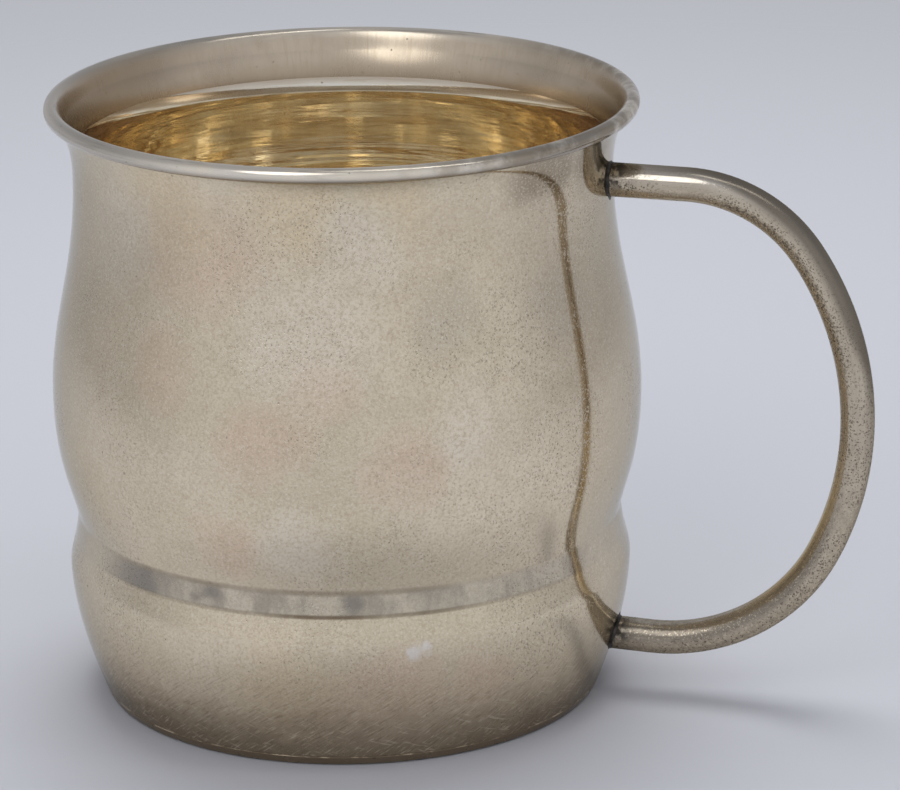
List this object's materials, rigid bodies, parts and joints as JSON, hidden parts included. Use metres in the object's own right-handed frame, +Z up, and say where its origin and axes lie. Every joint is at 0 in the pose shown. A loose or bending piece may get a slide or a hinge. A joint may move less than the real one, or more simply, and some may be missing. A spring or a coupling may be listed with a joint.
{
  "type": "baby cup",
  "caption": "Small silver child's mug with a barrel body, a waist band, a flared wire-edged lip, a gilt inside and a bent wire loop handle soldered at the neck and bowl.",
  "frame": {"origin": "centre of the flat underside of the base plate, on the cup's axis", "axes": "+Z up along the cup's axis, +X towards the handle, +Y to the side, with the handle in the XZ plane"},
  "size_m": [0.0928, 0.0664, 0.0685],
  "materials": {
    "silver": "polished silver with a warm tarnish, fine pits and soft scratches",
    "rim_silver": "polished silver wire, a little brighter where it is rubbed",
    "base_silver": "worn silver with brown tarnish along its edge",
    "handle_silver": "polished silver wire, pitted on its inner side",
    "gilt": "polished gold wash with fine turning lines",
    "solder": "dark oxidised silver solder"
  },
  "bodies": {
    "root": {"body_shell": "silver", "rim_wire": "rim_silver", "base_plate": "base_silver", "base_solder_seam": "solder", "gilt_lining": "gilt", "handle": "handle_silver", "upper_solder_fillet": "solder", "lower_solder_fillet": "solder"}
  },
  "joints": []
}
